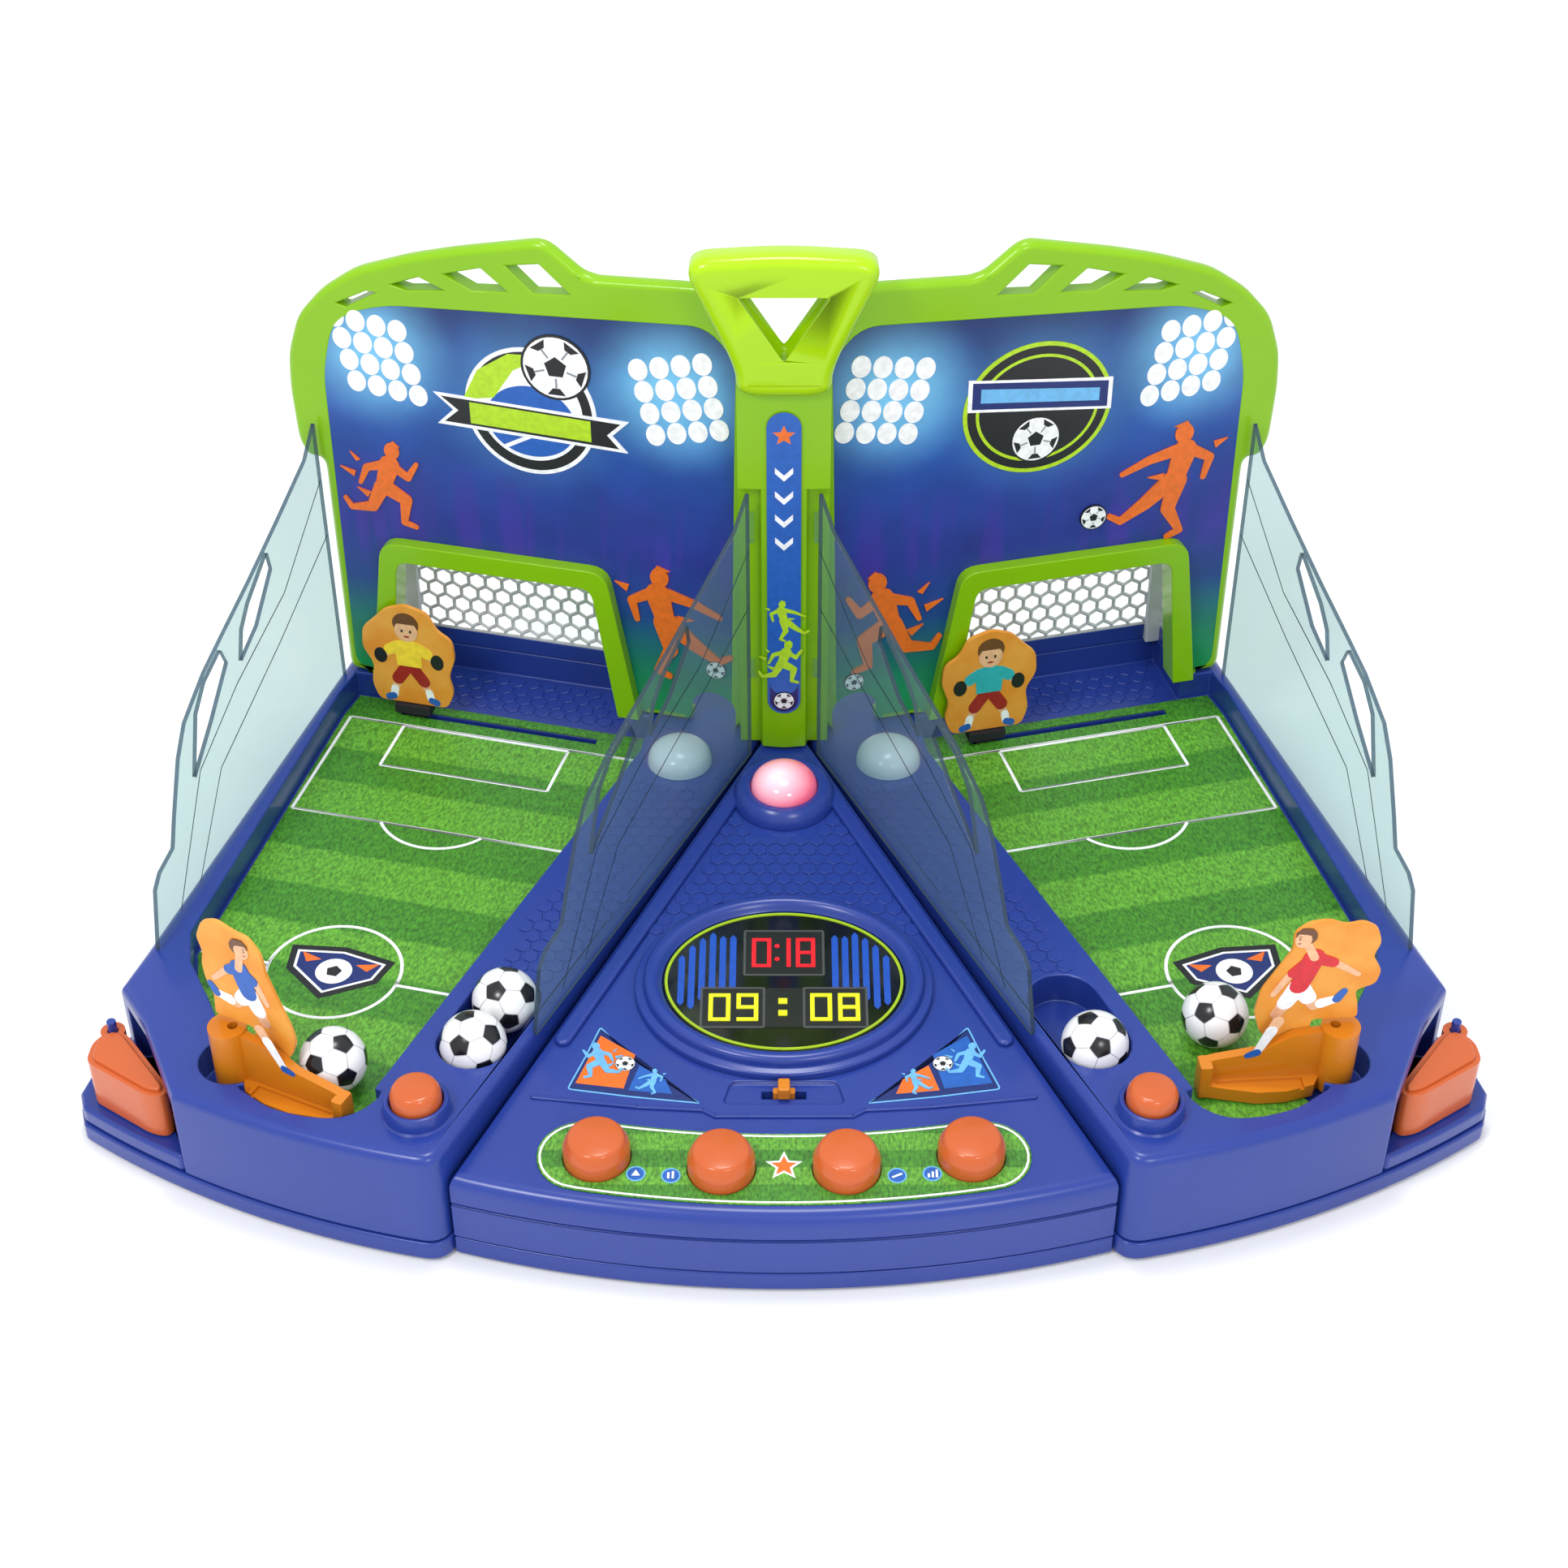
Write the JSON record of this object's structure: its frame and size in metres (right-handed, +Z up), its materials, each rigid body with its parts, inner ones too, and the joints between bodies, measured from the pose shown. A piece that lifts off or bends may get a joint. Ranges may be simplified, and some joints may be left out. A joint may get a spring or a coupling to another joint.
{
  "type": "tabletop football shooting game",
  "caption": "Two-player tabletop football shooting game with lever kickers, sliding keepers, goals, clear side guards and a central score console.",
  "frame": {"origin": "middle of the footprint, on the surface the game stands on", "axes": "+X to the right-hand player's side, +Y from the buttons towards the goals, +Z up"},
  "size_m": [0.6, 0.3948, 0.3145],
  "materials": {
    "blue_abs": "satin moulded ABS",
    "green_abs": "satin moulded ABS",
    "lime_abs": "glossy moulded ABS",
    "orange_abs": "satin moulded ABS",
    "red_orange_abs": "satin moulded ABS",
    "clear_guard": "clear tinted polystyrene sheet",
    "net_plastic": "moulded polypropylene mesh",
    "grass_print": "printed and laminated sheet",
    "backdrop_print": "printed and laminated card",
    "player_card": "printed card, matt",
    "display_window": "glossy smoked window",
    "pink_lens": "tinted translucent lens",
    "frosted_lens": "frosted translucent lens",
    "ball_white": "moulded ball with printed dark patches",
    "board_green": "solder-masked glass-fibre board",
    "dark_plastic": "matt moulded plastic",
    "steel": "turned steel"
  },
  "bodies": {
    "base": {"wing_shell_left": "blue_abs", "wing_shell_right": "blue_abs", "bottom_cover_left": "blue_abs", "bottom_cover_right": "blue_abs", "pitch_sheet_left": "grass_print", "pitch_sheet_right": "grass_print", "guard_panel_outer_left": "clear_guard", "guard_panel_outer_right": "clear_guard", "guard_panel_inner_left": "clear_guard", "guard_panel_inner_right": "clear_guard", "backboard_left": "green_abs", "backboard_right": "green_abs", "backdrop_print_left": "backdrop_print", "backdrop_print_right": "backdrop_print", "goal_frame_left": "green_abs", "goal_frame_right": "green_abs", "goal_net_left": "net_plastic", "goal_net_right": "net_plastic", "keeper_motor_left": "dark_plastic", "keeper_motor_right": "dark_plastic", "player_lamp_left": "frosted_lens", "player_lamp_right": "frosted_lens", "console_shell": "blue_abs", "bottom_cover_console": "blue_abs", "carry_handle": "lime_abs", "center_post": "green_abs", "button_plate": "grass_print", "display_bezel": "blue_abs", "score_display": "display_window", "lamp_ring": "blue_abs", "lamp_dome": "pink_lens", "circuit_board": "board_green", "speaker": "dark_plastic", "battery_box": "dark_plastic"},
    "trigger_left": {"trigger_left": "red_orange_abs"},
    "trigger_right": {"trigger_right": "red_orange_abs"},
    "kicker_left": {"kicker_left": "orange_abs", "kicker_player_left": "player_card"},
    "kicker_right": {"kicker_right": "orange_abs", "kicker_player_right": "player_card"},
    "keeper_left": {"keeper_left": "player_card", "keeper_carriage_left": "dark_plastic"},
    "keeper_right": {"keeper_right": "player_card", "keeper_carriage_right": "dark_plastic"},
    "drive_screw_left": {"keeper_drive_screw_left": "steel"},
    "drive_screw_right": {"keeper_drive_screw_right": "steel"},
    "power_button": {"power_button": "red_orange_abs"},
    "mode_button": {"mode_button": "red_orange_abs"},
    "sound_button": {"sound_button": "red_orange_abs"},
    "level_button": {"level_button": "red_orange_abs"},
    "wing_button_left": {"wing_button_left": "red_orange_abs"},
    "wing_button_right": {"wing_button_right": "red_orange_abs"},
    "power_slider": {"power_slider": "orange_abs"},
    "battery_door": {"battery_door": "blue_abs"},
    "kick_ball_left": {"kick_ball_left": "ball_white"},
    "kick_ball_right": {"kick_ball_right": "ball_white"},
    "spare_ball_left_front": {"spare_ball_left_front": "ball_white"},
    "spare_ball_left_back": {"spare_ball_left_back": "ball_white"},
    "spare_ball_right": {"spare_ball_right": "ball_white"}
  },
  "joints": [
    {"name": "trigger_left_press", "type": "hinge", "parent": "base", "child": "trigger_left", "pos_m": [-0.284, -0.0914, 0.033], "axis": [0, 0, 1], "range_deg": [0, 10], "stiffness_Nm_per_rad": 0.6},
    {"name": "kicker_left_swing", "type": "hinge", "parent": "base", "child": "kicker_left", "pos_m": [-0.226, -0.1234, 0.05], "axis": [0, 0, 1], "range_deg": [0, 50]},
    {"name": "kick_ball_left_run", "type": "slide", "parent": "base", "child": "kick_ball_left", "axis": [0.18, 0.9837, 0], "range_m": [0, 0.12]},
    {"name": "keeper_left_travel", "type": "slide", "parent": "base", "child": "keeper_left", "axis": [0.9694, -0.2453, 0], "range_m": [0, 0.086]},
    {"name": "drive_screw_left_turn", "type": "hinge", "parent": "base", "child": "drive_screw_left", "pos_m": [-0.13817, 0.12225, 0.03], "axis": [0.9694, -0.2453, 0], "range_deg": [0, 1720]},
    {"name": "trigger_right_press", "type": "hinge", "parent": "base", "child": "trigger_right", "pos_m": [0.284, -0.0914, 0.033], "axis": [0, 0, -1], "range_deg": [0, 10], "stiffness_Nm_per_rad": 0.6},
    {"name": "kicker_right_swing", "type": "hinge", "parent": "base", "child": "kicker_right", "pos_m": [0.226, -0.1234, 0.05], "axis": [0, 0, -1], "range_deg": [0, 50]},
    {"name": "kick_ball_right_run", "type": "slide", "parent": "base", "child": "kick_ball_right", "axis": [-0.18, 0.9837, 0], "range_m": [0, 0.12]},
    {"name": "keeper_right_travel", "type": "slide", "parent": "base", "child": "keeper_right", "axis": [0.9694, 0.2453, 0], "range_m": [0, 0.086]},
    {"name": "drive_screw_right_turn", "type": "hinge", "parent": "base", "child": "drive_screw_right", "pos_m": [0.13817, 0.12225, 0.03], "axis": [0.9694, 0.2453, 0], "range_deg": [0, 1720]},
    {"name": "power_button_press", "type": "slide", "parent": "base", "child": "power_button", "axis": [0, 0.0466, -0.9989], "range_m": [0, 0.003], "stiffness_N_per_m": 250},
    {"name": "mode_button_press", "type": "slide", "parent": "base", "child": "mode_button", "axis": [0, 0.0466, -0.9989], "range_m": [0, 0.003], "stiffness_N_per_m": 250},
    {"name": "sound_button_press", "type": "slide", "parent": "base", "child": "sound_button", "axis": [0, 0.0466, -0.9989], "range_m": [0, 0.003], "stiffness_N_per_m": 250},
    {"name": "level_button_press", "type": "slide", "parent": "base", "child": "level_button", "axis": [0, 0.0466, -0.9989], "range_m": [0, 0.003], "stiffness_N_per_m": 250},
    {"name": "wing_button_left_press", "type": "slide", "parent": "base", "child": "wing_button_left", "axis": [0, 0, -1], "range_m": [0, 0.004], "stiffness_N_per_m": 250},
    {"name": "wing_button_right_press", "type": "slide", "parent": "base", "child": "wing_button_right", "axis": [0, 0, -1], "range_m": [0, 0.004], "stiffness_N_per_m": 250},
    {"name": "power_slider_slide", "type": "slide", "parent": "base", "child": "power_slider", "axis": [1, 0, 0], "range_m": [-0.004, 0.004]},
    {"name": "battery_door_off", "type": "slide", "parent": "base", "child": "battery_door", "axis": [0, 0, -1], "range_m": [0, 0.04]},
    {"name": "spare_ball_left_front_lift", "type": "slide", "parent": "base", "child": "spare_ball_left_front", "axis": [0, 0, 1], "range_m": [0, 0.06]},
    {"name": "spare_ball_left_back_lift", "type": "slide", "parent": "base", "child": "spare_ball_left_back", "axis": [0, 0, 1], "range_m": [0, 0.06]},
    {"name": "spare_ball_right_lift", "type": "slide", "parent": "base", "child": "spare_ball_right", "axis": [0, 0, 1], "range_m": [0, 0.06]}
  ],
  "couplings": [
    {"joint": "kicker_left_swing", "follows": "trigger_left_press", "ratio": 5},
    {"joint": "kick_ball_left_run", "follows": "trigger_left_press", "m_per_rad": 0.68411},
    {"joint": "drive_screw_left_turn", "follows": "keeper_left_travel", "rad_per_m": 348.72},
    {"joint": "kicker_right_swing", "follows": "trigger_right_press", "ratio": 5},
    {"joint": "kick_ball_right_run", "follows": "trigger_right_press", "m_per_rad": 0.68411},
    {"joint": "drive_screw_right_turn", "follows": "keeper_right_travel", "rad_per_m": 348.72}
  ]
}
